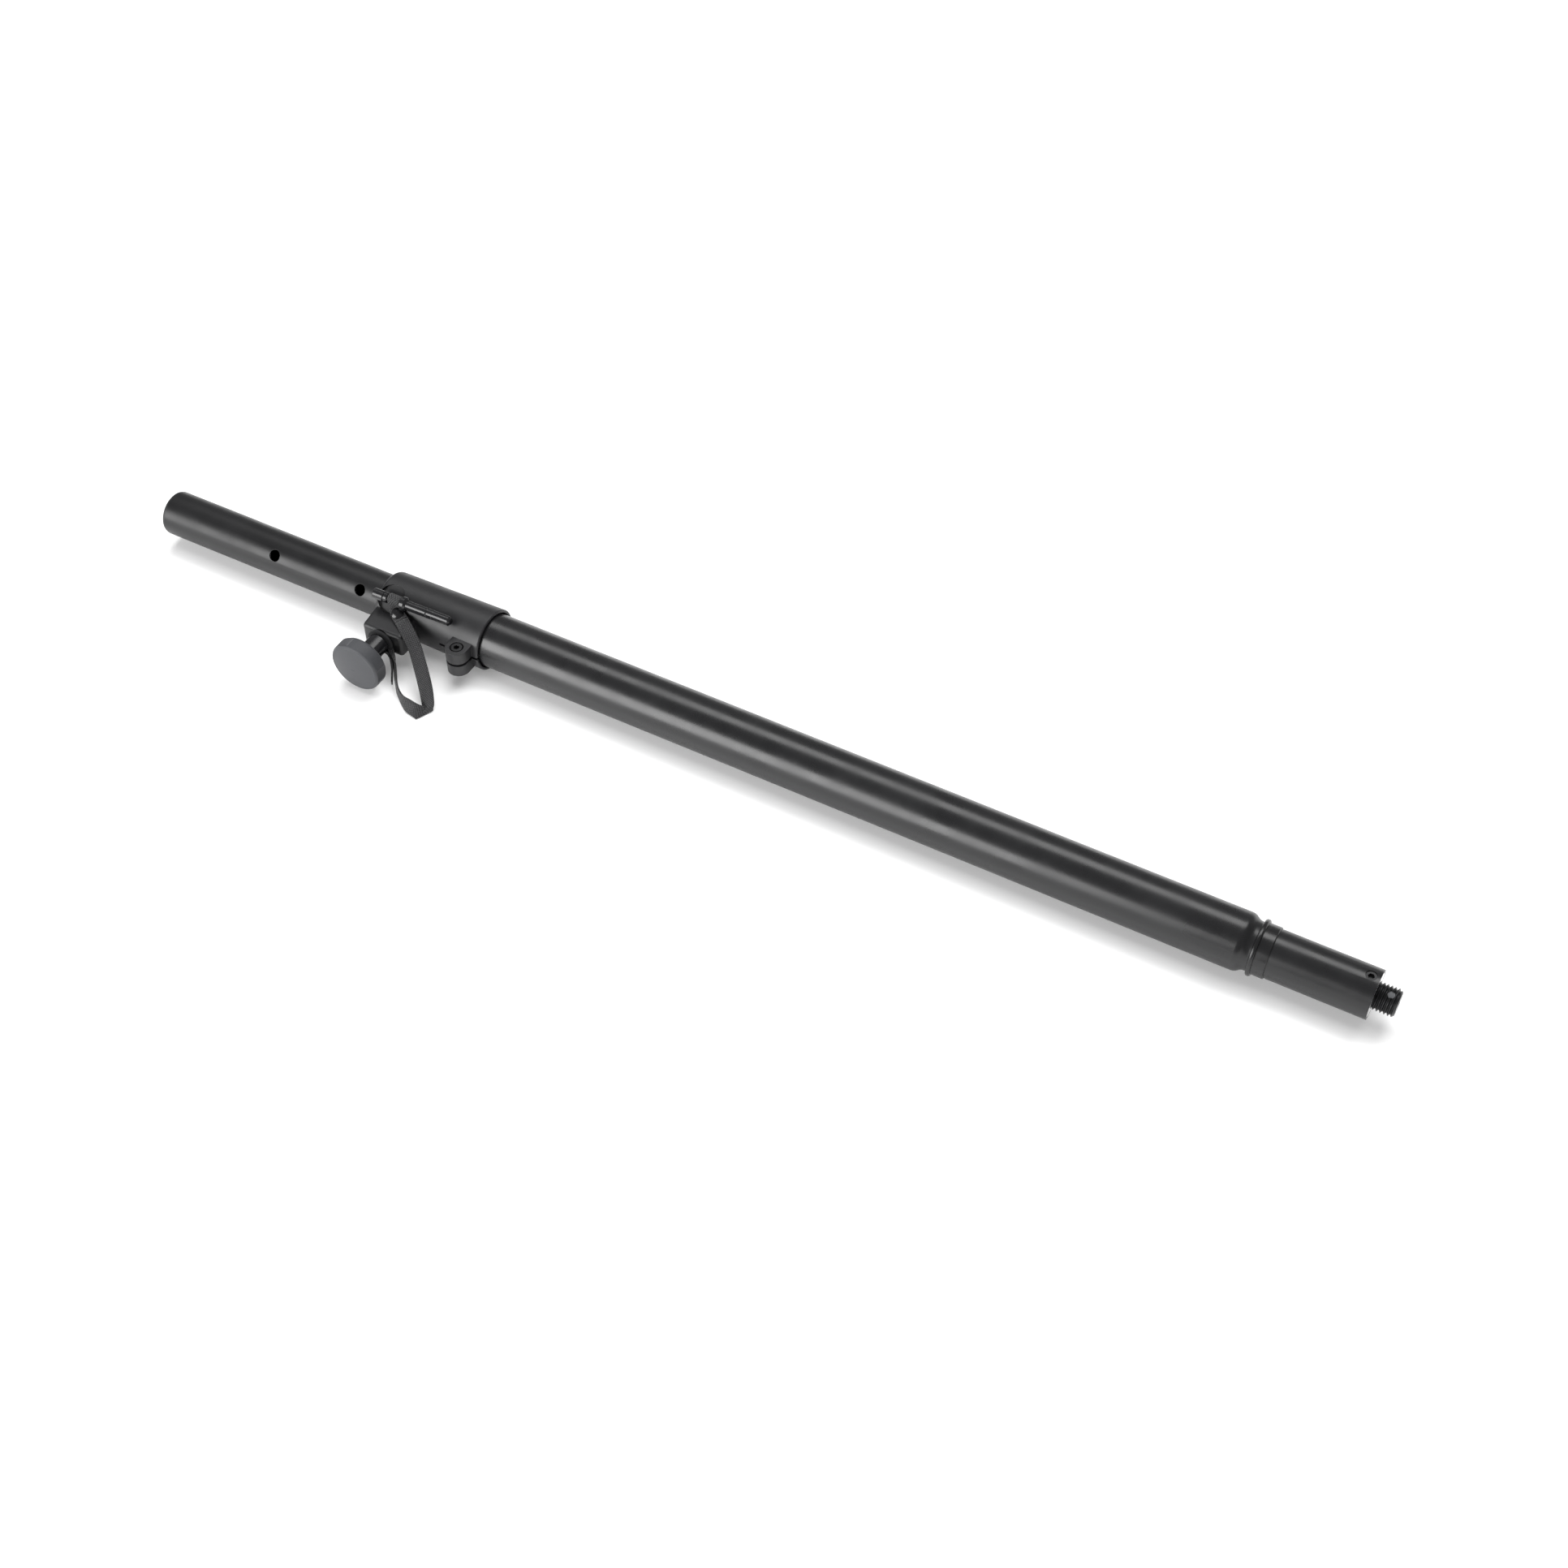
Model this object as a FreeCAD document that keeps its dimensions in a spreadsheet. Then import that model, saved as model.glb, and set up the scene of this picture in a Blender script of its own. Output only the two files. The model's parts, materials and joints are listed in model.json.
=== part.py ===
"""Telescoping speaker pole, lying on its side: upper tube, clamp collar with knob and tethered
locking pin, swaged lower tube and M20 stud. Millimetres. Pieces are laid out along the pole's own
axis, with x counted from the speaker end, and then placed in the row frame (+X towards the stud,
-Y towards the knob, +Z up, origin on the floor under the middle of the object's box)."""

import FreeCAD, Part
import math
import os
import Sketcher

V = FreeCAD.Vector
doc = FreeCAD.newDocument("SpeakerPole")

SIZES = {
    "overall": 998.4,           # speaker end to the tip of the stud
    "running_gap": 0.06,        # radial clearance of pieces that slide or turn
    "seat_gap": 0.01,           # radial clearance of pieces that stay put
    # upper tube
    "upper_r": 17.5,
    "upper_wall": 1.5,
    "upper_start": 2.5,
    "upper_end": 790.0,
    "cap_plug": 18.0,
    "lock_hole_r": 4.6,
    "lock_hole_first": 109.0,
    "lock_hole_pitch": 80.0,
    "lock_hole_count": 8,
    "lock_hole_angle": 41.0,    # above horizontal, on the knob side
    "mark_start": 206.4,        # setting mark, a shallow groove where the collar ends
    "mark_end": 207.3,
    "groove_depth": 0.25,       # of the setting mark and of the shoulder relief
    # lower tube
    "lower_r": 20.7,
    "lower_wall": 1.5,
    "lower_start": 238.0,
    "swage_start": 891.0,
    "swage_end": 900.0,
    "shaft_r": 17.46,
    "shaft_end": 983.0,
    # flange ring
    "bead_start": 901.0,
    "bead_end": 904.4,
    "bead_r": 20.1,
    "ring_r": 18.3,
    "ring_end": 913.0,
    "relief_end": 913.9,
    # threaded end
    "plug_start": 941.0,
    "stud_r": 9.8,
    "stud_start": 950.0,
    "stud_chamfer": 1.8,
    "undercut_start": 982.0,
    "undercut_end": 984.4,
    "undercut_r": 8.6,
    "pellet_x": 992.3,
    "pellet_r": 2.5,
    "pellet_angle": 77.0,
    "pellet_sunk": 1.1,
    "set_screw_x": 976.8,
    "set_screw_r": 4.0,
    "set_screw_angle": 89.0,
    "set_screw_count": 2,
    "set_screw_socket": 4.0,    # across flats
    "set_screw_socket_depth": 3.4,
    # clamp collar
    "collar_start": 207.0,
    "collar_end": 301.0,
    "collar_r_top": 22.3,
    "collar_r_base": 23.8,
    "collar_round": 3.4,
    "collar_bevel": 0.8,
    "tube_seat": 236.0,
    "mouth_start": 292.0,
    "mouth_r": 21.75,
    "liner_end": 262.0,
    "port_x": 219.6,
    "port_r": 11.2,
    "port_floor": 18.9,         # distance of the port's flat floor from the pole's axis
    "port_angle": 50.0,
    "slit_start": 268.0,
    "slit_width": 2.2,
    # knob boss
    "knob_x": 227.0,
    "boss_left": 207.4,
    "boss_right": 246.0,
    "boss_front_left": 210.8,
    "boss_front_right": 245.2,
    "boss_front": 40.8,
    "boss_half_height": 9.9,
    "boss_round": 3.0,
    "boss_recess_r": 9.4,
    "boss_recess_depth": 4.5,
    # clamp lug
    "lug_x": 287.5,
    "lug_y": 28.6,
    "lug_r": 8.8,
    "lug_top": 11.0,
    "lug_bottom": 10.6,
    "lug_pocket_r": 5.1,
    "lug_pocket_depth": 5.6,
    "clamp_screw_r": 2.5,
    "clamp_head_r": 4.25,
    "clamp_head_height": 5.0,
    "clamp_washer": 0.5,
    "clamp_nut_flats": 8.0,
    "clamp_nut_height": 4.0,
    "clamp_socket": 4.0,        # across flats
    "clamp_socket_depth": 3.0,
    # pressure shoe and knob, measured from the pole's axis towards the knob
    "shoe_r": 5.5,
    "pad_end": 20.0,
    "shoe_end": 23.4,
    "nose_r": 2.5,
    "nose_depth": 2.0,
    "insert_start": 26.5,
    "insert_r": 7.0,
    "screw_r": 5.0,
    "screw_end": 71.0,
    "stem_washer_depth": 1.4,
    "neck_start": 37.9,
    "neck_r": 6.9,
    "hub_start": 43.3,
    "hub_r": 8.2,
    "knob_start": 61.8,
    "knob_end": 75.0,
    "knob_r": 20.7,
    "knob_edge": 2.6,
    "knob_insert_r": 8.0,
    "knob_insert_end": 71.5,
    "scallop_depth": 1.5,
    "scallop_r": 24.0,
    "scallop_lip": 1.6,
    "scallop_angle": 117.0,     # of the first of three, turned from +X towards +Z
    "face_r": 18.1,
    "face_seat": 72.6,
    "face_crown": 76.6,
    # locking pin, laid on the collar
    "pin_x": 208.1,
    "pin_angle": 49.5,
    "pin_axis_r": 28.46,
    "pin_skew": 0.9,
    "pin_length": 68.4,
    "pin_r": 3.8,
    "pin_head_r": 4.1,
    "pin_head_end": 13.4,
    "pin_head_groove": 9.6,
    "pin_neck_r": 3.0,
    "pin_flange_start": 25.2,
    "pin_flange_r": 5.6,
    "pin_flange_end": 30.0,
    "pin_groove": 48.0,
    "pin_groove_depth": 0.5,
    "pin_tip_start": 52.8,
    "pin_tip_r": 3.7,
    # webbing tether
    "webbing_width": 10.6,
    "webbing_thick": 1.3,
    "stem_loop_near": 40.9,     # the loop is gathered into the gap between boss and hub
    "stem_loop_far": 43.2,
    "stem_loop_r": 10.4,
    "rivet_x": 231.0,
    "rivet_y": -22.7,
    "rivet_z": 13.6,
    "rivet_r": 4.5,
    "rivet_post_r": 1.6,
    "rivet_dome": 2.1,
}

# ---------------------------------------------------------------- sheet and helpers
sizes = doc.addObject("Spreadsheet::Sheet", "sizes")
for row, (alias, value) in enumerate(SIZES.items(), start=1):
    sizes.set(f"A{row}", alias)
    sizes.set(f"B{row}", str(value))
    sizes.setAlias(f"B{row}", alias)
doc.recompute()

# The pole's axis in the row frame: the box runs from the knob's crown to the collar's far side.
sizes.set("D1", "=-overall / 2")
sizes.setAlias("D1", "pole_x")
sizes.set("D2", "=(face_crown - collar_r_base) / 2")
sizes.setAlias("D2", "pole_y")
sizes.set("D3", "=collar_r_base")
sizes.setAlias("D3", "pole_z")
doc.recompute()

WORDS = sorted(list(SIZES) + ["pole_x", "pole_y", "pole_z"], key=len, reverse=True)
finished = []


def cells(text):
    """Write the sheet's name before each alias of an expression."""
    out, word = "", ""
    for letter in str(text) + " ":
        if letter.isalnum() or letter == "_":
            word += letter
            continue
        out += ("sizes." + word if word in WORDS else word) + letter
        word = ""
    return out.strip()


def number(text):
    """The value of an expression in the sheet's aliases."""
    value = doc.sizes.evalExpression(str(text))
    return float(getattr(value, "Value", value))


def bind(thing, **properties):
    """Bind properties to expressions; a double underscore stands for a dot."""
    for name, text in properties.items():
        thing.setExpression(name.replace("__", "."), cells(text))


def place(thing, x="0", y="0", z="0", turn=None):
    """Place in the pole's layout frame, with an optional (axis, angle) turn."""
    if turn:
        thing.Placement = FreeCAD.Placement(V(), FreeCAD.Rotation(V(*turn[0]), number(turn[1])))
    bind(thing, Placement__Base__x=x, Placement__Base__y=y, Placement__Base__z=z)
    return thing


def finish(thing, label, x="pole_x", y="pole_y", z="pole_z"):
    """Name a sub-part and set it down in the row frame."""
    thing.Label = label
    bind(thing, Placement__Base__x=x, Placement__Base__y=y, Placement__Base__z=z)
    finished.append(thing)
    return thing


def plane_of(body, role):
    return next(f for f in body.Origin.OriginFeatures if f.Role == role)


def arc_through(start, middle, stop):
    """A sketch arc through three points, counter-clockwise as sketches keep them."""
    if (middle - start).cross(stop - middle).z < 0:
        start, stop = stop, start
    centre = Part.Arc(start, middle, stop).toShape().Curve.Center
    radius = (start - centre).Length
    first, last = (math.atan2(p.y - centre.y, p.x - centre.x) for p in (start, stop))
    if last < first:
        last += 2 * math.pi
    return Part.ArcOfCircle(Part.Circle(centre, V(0, 0, 1), radius), first, last)


def draw(sketch, corners, arcs=None):
    """A closed outline of (x, y) expressions; arcs maps a corner's index to the (x, y) expressions
    of a point halfway along the arc that leaves it."""
    arcs = arcs or {}
    points = [V(number(x), number(y), 0) for x, y in corners]
    ends, radii = [], {}
    for i, start in enumerate(points):
        stop = points[(i + 1) % len(points)]
        if i in arcs:
            middle = V(number(arcs[i][0]), number(arcs[i][1]), 0)
            curve = arc_through(start, middle, stop)
        else:
            curve = Part.LineSegment(start, stop)
        edge = sketch.addGeometry(curve, False)
        forward = (sketch.Geometry[edge].StartPoint - start).Length < 1e-6
        ends.append((edge, 1 if forward else 2, 2 if forward else 1))
        if i in arcs:
            radii[edge] = curve.Radius
    for i, (edge, first, last) in enumerate(ends):
        after, after_first, _ = ends[(i + 1) % len(ends)]
        sketch.addConstraint(Sketcher.Constraint("Coincident", edge, last, after, after_first))
    for i, (edge, first, _) in enumerate(ends):
        for kind, text, value, axis in (
            ("DistanceX", corners[i][0], points[i].x, -2),
            ("DistanceY", corners[i][1], points[i].y, -1),
        ):
            if abs(value) < 1e-9:
                sketch.addConstraint(Sketcher.Constraint("PointOnObject", edge, first, axis))
                continue
            added = sketch.addConstraint(Sketcher.Constraint(kind, -1, 1, edge, first, value))
            sketch.setExpression(f"Constraints[{added}]", cells(text))
    for edge, radius in radii.items():
        sketch.addConstraint(Sketcher.Constraint("Radius", edge, radius))
    return sketch


def dome_middle(edge_x, edge_r, crown_x):
    """The point halfway along the arc from a dome's rim to its crown on the axis."""
    rise = number(f"{crown_x} - ({edge_x})")
    rim = number(edge_r)
    bend = (rise**2 + rim**2) / (2 * rise)
    half = math.asin(rim / bend) / 2
    return f"{crown_x} - {bend * (1 - math.cos(half))}", str(bend * math.sin(half))


def turned(name, corners, arcs=None):
    """A PartDesign body revolved about its own x axis from an outline of (along, radius)."""
    body = doc.addObject("PartDesign::Body", name)
    sketch = body.newObject("Sketcher::SketchObject", name + "_outline")
    sketch.AttachmentSupport = [(plane_of(body, "XY_Plane"), "")]
    sketch.MapMode = "FlatFace"
    draw(sketch, corners, arcs)
    doc.recompute()
    spin = body.newObject("PartDesign::Revolution", name + "_turn")
    spin.Profile = sketch
    spin.ReferenceAxis = (sketch, ["H_Axis"])
    spin.Angle = 360.0
    doc.recompute()
    return body


def cylinder(name, radius, height, x="0", y="0", z="0", turn=None):
    rod = doc.addObject("Part::Cylinder", name)
    bind(rod, Radius=radius, Height=height)
    return place(rod, x, y, z, turn)


def hexagon(name, flats, height, x="0", y="0", z="0", turn=None):
    """A hexagonal prism, sized across its flats."""
    prism = doc.addObject("Part::Prism", name)
    prism.Polygon = 6
    bind(prism, Circumradius=f"({flats}) / sqrt(3)", Height=height)
    return place(prism, x, y, z, turn)


def block(name, length, width, height, x, y, z):
    box = doc.addObject("Part::Box", name)
    bind(box, Length=length, Width=width, Height=height)
    return place(box, x, y, z)


def fuse(name, *things):
    joined = doc.addObject("Part::MultiFuse", name)
    joined.Shapes = list(things)
    return joined


def cut(name, base, *tools):
    result = doc.addObject("Part::Cut", name)
    result.Base = base
    result.Tool = tools[0] if len(tools) == 1 else fuse(name + "_tools", *tools)
    return result


def radial(name, radius, inner, outer, x, angle):
    """A rod square to the pole's axis, from one distance out to another, at an angle above
    horizontal on the knob side."""
    return cylinder(name, radius, f"{outer} - ({inner})", x,
                    f"-({inner}) * cos({angle})", f"({inner}) * sin({angle})",
                    ((1, 0, 0), f"90 - ({angle})"))


ALONG_POLE = ((0, 1, 0), "90")       # a cylinder's own z turned to the pole's axis
TO_KNOB = ((1, 0, 0), "90")          # a cylinder's own z turned to -Y


# ---------------------------------------------------------------- upper tube
def upper_tube():
    bore = "(upper_r - upper_wall)"
    tube = turned("upper_stock", [
        ("upper_start", bore), ("upper_start", "upper_r"),
        ("mark_start", "upper_r"), ("mark_start", "upper_r - groove_depth"),
        ("mark_end", "upper_r - groove_depth"), ("mark_end", "upper_r"),
        ("upper_end", "upper_r"), ("upper_end", bore),
    ])
    holes = [
        radial(f"lock_hole_{n + 1}", "lock_hole_r", "-upper_r - 3", "upper_r + 3",
               f"lock_hole_first + {n} * lock_hole_pitch", "lock_hole_angle")
        for n in range(int(number("lock_hole_count")))
    ]
    finish(cut("upper_cut", tube, *holes), "upper_tube")


def upper_end_cap():
    plug = "(upper_r - upper_wall - seat_gap)"
    body = turned("upper_cap", [
        ("0", "0"), ("0", "upper_r - 2.2"), ("1.9", "upper_r - 0.3"), ("upper_start", "upper_r - 0.3"),
        ("upper_start", plug), ("cap_plug - 1", plug), ("cap_plug", f"{plug} - 1"),
        ("cap_plug", f"{plug} - 3"), ("upper_start + 1", f"{plug} - 3"), ("upper_start + 1", "0"),
    ], {1: ("0.56", "upper_r - 0.86")})
    finish(body, "upper_end_cap")


def guide_bushing():
    skin = "(lower_r - lower_wall - running_gap)"
    gap = "(upper_r + running_gap)"
    body = turned("bushing", [
        ("upper_end - 36", gap), ("upper_end - 35", skin), ("upper_end + 4", skin),
        ("upper_end + 5", f"{skin} - 1"), ("upper_end + 5", "upper_r - 6"),
        ("upper_end + 0.1", "upper_r - 6"), ("upper_end + 0.1", gap),
    ])
    finish(body, "guide_bushing")


# ---------------------------------------------------------------- lower tube
def lower_tube():
    # The swage is two equal arcs; R = (length^2 + drop^2) / (4 drop).
    bore = "(lower_r - lower_wall)"
    thin = "(shaft_r - lower_wall)"
    length = number("swage_end - swage_start")
    drop = number("lower_r - shaft_r")
    bend = (length**2 + drop**2) / (4 * drop)
    half = math.asin(length / 2 / bend) / 2
    mid_x = "(swage_start + swage_end) / 2"
    mid_r = "(lower_r + shaft_r) / 2"
    side = bend * math.sin(half)
    dip = bend * (1 - math.cos(half))
    # wall points square to the swage's slope at its middle
    step_x = number("lower_wall") * math.sin(2 * half)
    step_r = number("lower_wall") * math.cos(2 * half)
    tight, loose = bend - number("lower_wall"), bend + number("lower_wall")
    outline = [
        ("lower_start", bore), ("lower_start", "lower_r"), ("swage_start", "lower_r"),
        (mid_x, mid_r), ("swage_end", "shaft_r"), ("ring_end - 0.1", "shaft_r"),
        ("ring_end - 0.1", "shaft_r - groove_depth"), ("relief_end", "shaft_r - groove_depth"),
        ("relief_end", "shaft_r"), ("shaft_end", "shaft_r"),
        ("shaft_end", thin), ("swage_end", thin),
        (f"{mid_x} - {step_x}", f"{mid_r} - {step_r}"), ("swage_start", bore),
    ]
    arcs = {
        2: (f"swage_start + {side}", f"lower_r - {dip}"),
        3: (f"swage_end - {side}", f"shaft_r + {dip}"),
        11: (f"swage_end - {loose * math.sin(half)}", f"{thin} + {loose * (1 - math.cos(half))}"),
        12: (f"swage_start + {tight * math.sin(half)}", f"{bore} - {tight * (1 - math.cos(half))}"),
    }
    tube = turned("lower_stock", outline, arcs)
    count = int(number("set_screw_count"))
    holes = [
        radial(f"grub_hole_{n + 1}", "set_screw_r + seat_gap", "shaft_r - 4", "shaft_r + 3",
               "set_screw_x", f"set_screw_angle + {n} * 360 / set_screw_count")
        for n in range(count)
    ]
    finish(cut("lower_cut", tube, *holes), "lower_tube")


def flange_ring():
    seat = "(shaft_r + seat_gap)"
    middle = "(bead_start + bead_end) / 2"
    body = turned("flange", [
        ("bead_start", seat), ("bead_start", "bead_r - 1.4"), ("bead_start + 1.4", "bead_r"),
        ("bead_end - 1.4", "bead_r"), ("bead_end", "bead_r - 1.4"), ("bead_end", "ring_r"),
        ("ring_end - 0.5", "ring_r"), ("ring_end", "ring_r - 0.5"), ("ring_end", seat),
    ], {
        1: ("bead_start + 0.41", "bead_r - 0.41"),
        3: ("bead_end - 0.41", "bead_r - 0.41"),
    })
    finish(body, "flange_ring")


# ---------------------------------------------------------------- threaded end
def threaded_plug():
    skin = "(shaft_r - lower_wall - seat_gap)"
    bore = "(stud_r + seat_gap)"
    stock = turned("plug_stock", [
        ("plug_start", bore), ("plug_start", f"{skin} - 1"), ("plug_start + 1", skin),
        ("shaft_end - 0.6", skin), ("shaft_end", f"{skin} - 0.6"), ("shaft_end", bore),
    ])
    count = int(number("set_screw_count"))
    holes = [
        radial(f"plug_hole_{n + 1}", "set_screw_r + seat_gap", "stud_r - 3", "shaft_r + 3",
               "set_screw_x", f"set_screw_angle + {n} * 360 / set_screw_count")
        for n in range(count)
    ]
    finish(cut("plug_cut", stock, *holes), "threaded_plug")


def plug_set_screws():
    screws = []
    for n in range(int(number("set_screw_count"))):
        angle = f"set_screw_angle + {n} * 360 / set_screw_count"
        shank = radial(f"grub_{n + 1}", "set_screw_r", "stud_r + 0.35", "shaft_r - 1",
                       "set_screw_x", angle)
        inner = "shaft_r - set_screw_socket_depth"
        socket = hexagon(f"grub_socket_{n + 1}", "set_screw_socket", "set_screw_socket_depth",
                         "set_screw_x", f"-({inner}) * cos({angle})", f"({inner}) * sin({angle})",
                         ((1, 0, 0), f"90 - ({angle})"))
        screws.append(cut(f"grub_cut_{n + 1}", shank, socket))
    finish(fuse("grubs", *screws), "plug_set_screws")


def m20_stud():
    rod = turned("stud_stock", [
        ("stud_start", "0"), ("stud_start", "stud_r - stud_chamfer"),
        ("stud_start + stud_chamfer", "stud_r"), ("undercut_start", "stud_r"),
        ("undercut_start", "undercut_r"), ("undercut_end", "undercut_r"),
        ("undercut_end", "stud_r"), ("overall - stud_chamfer", "stud_r"),
        ("overall", "stud_r - stud_chamfer"), ("overall", "0"),
    ])
    place(rod, turn=((1, 0, 0), "-24.5"))
    hole = radial("pellet_hole", "pellet_r + seat_gap", "-stud_r - 2", "stud_r + 2",
                  "pellet_x", "pellet_angle")
    finish(cut("stud_cut", rod, hole), "m20_stud")


def thread_lock_pellet():
    rod = radial("pellet", "pellet_r", "-stud_r", "stud_r", "pellet_x", "pellet_angle")
    skin = cylinder("pellet_skin", "stud_r - pellet_sunk", "4 * pellet_r",
                    "pellet_x - 2 * pellet_r", turn=ALONG_POLE)
    pellet = doc.addObject("Part::Common", "pellet_ends")
    pellet.Base, pellet.Tool = rod, skin
    finish(pellet, "thread_lock_pellet")


# ---------------------------------------------------------------- clamp collar
def collar_shell():
    seat = "(lower_r + seat_gap)"
    slope = "((collar_r_base - collar_r_top) / (collar_end - collar_start))"
    far = "0.2929 * collar_round"
    return turned("collar_shell", [
        ("collar_start", "upper_r + running_gap"), ("collar_start", "collar_r_top - collar_round"),
        ("collar_start + collar_round", "collar_r_top"),
        ("collar_end - collar_bevel", f"collar_r_base - collar_bevel * {slope}"),
        ("collar_end", "collar_r_base - collar_bevel"), ("collar_end", "mouth_r"),
        ("mouth_start", "mouth_r"), ("mouth_start", seat), ("tube_seat", seat),
        ("tube_seat", "upper_r + running_gap"),
    ], {1: (f"collar_start + {far}", f"collar_r_top - {far}")})


def knob_boss():
    """The block that carries the knob's thread, narrower at its front."""
    wedge = doc.addObject("Part::Wedge", "boss_wedge")
    bind(wedge, Xmin="boss_front_left", Xmax="boss_front_right", X2min="boss_left",
         X2max="boss_right", Ymin="0", Ymax="boss_front - 12",
         Zmin="-boss_half_height", Zmax="boss_half_height",
         Z2min="-boss_half_height", Z2max="boss_half_height")
    place(wedge, y="-boss_front")
    doc.recompute()
    rounded = doc.addObject("Part::Fillet", "boss_round_block")
    rounded.Base = wedge
    front = -number("boss_front")
    radius = number("boss_round")
    chosen = []
    for i, edge in enumerate(wedge.Shape.Edges, start=1):
        ys = [v.Point.y for v in edge.Vertexes]
        along = abs(edge.Vertexes[0].Point.y - edge.Vertexes[-1].Point.y) > 1
        if along or max(ys) < front + 0.01:
            chosen.append((i, radius, radius))
    rounded.Edges = chosen
    return rounded


def clamp_lug():
    column = cylinder("lug_column", "lug_r", "lug_top + lug_bottom",
                      "lug_x", "-lug_y", "-lug_bottom")
    web = block("lug_web", "2 * lug_r", "lug_y - 14", "lug_top + lug_bottom",
                "lug_x - lug_r", "-lug_y", "-lug_bottom")
    return [column, web]


def clamp_collar():
    solid = fuse("collar_solid", collar_shell(), knob_boss(), *clamp_lug())
    bore = cylinder("collar_bore", "upper_r + running_gap", "tube_seat - collar_start + 2",
                    "collar_start - 1", turn=ALONG_POLE)
    seat = cylinder("collar_seat", "lower_r + seat_gap", "mouth_start - tube_seat + 1",
                    "tube_seat", turn=ALONG_POLE)
    mouth = cylinder("collar_mouth", "mouth_r", "collar_end - mouth_start + 2",
                     "mouth_start", turn=ALONG_POLE)
    port = radial("port", "port_r", "port_floor", "collar_r_base + 4", "port_x", "port_angle")
    pin_hole = radial("port_hole", "lock_hole_r", "upper_r - 4", "port_floor + 1",
                      "port_x", "port_angle")
    slit = block("slit", "collar_end - slit_start + 2", "lug_y + lug_r", "slit_width",
                 "slit_start", "-lug_y - lug_r - 2", "-slit_width / 2")
    slit_end = cylinder("slit_end", "slit_width / 2", "lug_y + lug_r", "slit_start", "-14", "0",
                        TO_KNOB)
    screw_hole = cylinder("clamp_hole", "clamp_screw_r + 0.2", "lug_top + lug_bottom + 2",
                          "lug_x", "-lug_y", "-lug_bottom - 1")
    head_pocket = cylinder("clamp_pocket", "lug_pocket_r", "lug_pocket_depth + 1",
                           "lug_x", "-lug_y", "lug_top - lug_pocket_depth")
    nut_pocket = hexagon("nut_pocket", "clamp_nut_flats + 0.1", "clamp_nut_height + 1",
                         "lug_x", "-lug_y", "-lug_bottom - 1")
    shoe_hole = cylinder("shoe_hole", "shoe_r + running_gap", "insert_start - 10",
                         "knob_x", "-10", "0", TO_KNOB)
    insert_hole = cylinder("insert_hole", "insert_r + seat_gap", "boss_front - insert_start + 1",
                           "knob_x", "-insert_start", "0", TO_KNOB)
    recess = cylinder("boss_recess", "boss_recess_r", "boss_recess_depth + 1",
                      "knob_x", "-boss_front + boss_recess_depth", "0", TO_KNOB)
    shape = cut("collar_cut", solid, bore, seat, mouth, port, pin_hole, slit, slit_end,
                screw_hole, head_pocket, nut_pocket, shoe_hole, insert_hole, recess)
    finish(shape, "clamp_collar")


def collar_liner():
    gap = "(upper_r + running_gap)"
    skin = "(lower_r - lower_wall - seat_gap)"
    body = turned("liner", [
        ("tube_seat + seat_gap", gap), ("tube_seat + seat_gap", "lower_r - 0.2"),
        ("lower_start - seat_gap", "lower_r - 0.2"), ("lower_start - seat_gap", skin),
        ("liner_end - 0.6", skin), ("liner_end", f"{skin} - 0.6"), ("liner_end", gap),
    ])
    finish(body, "collar_liner")


def clamp_hardware():
    """Socket head screw, washer and nut; each axis is vertical in the lug."""
    seat = "(lug_top - lug_pocket_depth)"
    head = cylinder("clamp_head", "clamp_head_r", "clamp_head_height", "lug_x", "-lug_y",
                    f"{seat} + clamp_washer")
    shank = cylinder("clamp_shank", "clamp_screw_r", f"{seat} + clamp_washer + lug_bottom - 0.3",
                     "lug_x", "-lug_y", "-lug_bottom + 0.3")
    socket = hexagon("clamp_hex_socket", "clamp_socket", "clamp_socket_depth + 1", "lug_x", "-lug_y",
                     f"{seat} + clamp_washer + clamp_head_height - clamp_socket_depth")
    finish(cut("clamp_screw_cut", fuse("clamp_screw_solid", head, shank), socket), "clamp_screw")

    ring = cylinder("washer_disc", "clamp_head_r + 0.6", "clamp_washer", "lug_x", "-lug_y", seat)
    hole = cylinder("washer_hole", "clamp_screw_r + 0.1", "3", "lug_x", "-lug_y", f"{seat} - 1")
    finish(cut("washer_cut", ring, hole), "clamp_washer")

    nut = hexagon("nut_blank", "clamp_nut_flats", "clamp_nut_height - 0.3", "lug_x", "-lug_y",
                  "-lug_bottom + 0.2")
    thread = cylinder("nut_thread", "clamp_screw_r + seat_gap", "9", "lug_x", "-lug_y",
                      "-lug_bottom - 1")
    finish(cut("nut_cut", nut, thread), "clamp_nut")


# ---------------------------------------------------------------- knob and pressure shoe
def finish_on_knob(body, label):
    """Set down a piece turned about the knob's axis; its x runs from the pole's axis to -Y."""
    body.Placement = FreeCAD.Placement(V(), FreeCAD.Rotation(V(0, 0, 1), -90))
    finish(body, label, x="pole_x + knob_x")


def pressure_shoe():
    rod = turned("shoe_rod", [
        ("pad_end", "0"), ("pad_end", "shoe_r"), ("shoe_end", "shoe_r"),
        ("shoe_end", "nose_r + seat_gap"), ("shoe_end - nose_depth", "nose_r + seat_gap"),
        ("shoe_end - nose_depth", "0"),
    ])
    finish_on_knob(rod, "pressure_shoe")


def shoe_pad():
    """Soft pad, hollowed to the upper tube's radius on its face."""
    disc = cylinder("pad_disc", "shoe_r", "pad_end - seat_gap - 12", "knob_x", "-12", "0", TO_KNOB)
    hollow = cylinder("pad_hollow", "upper_r + 0.03", "60", "knob_x - 30", turn=ALONG_POLE)
    finish(cut("pad_cut", disc, hollow), "shoe_pad")


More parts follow.
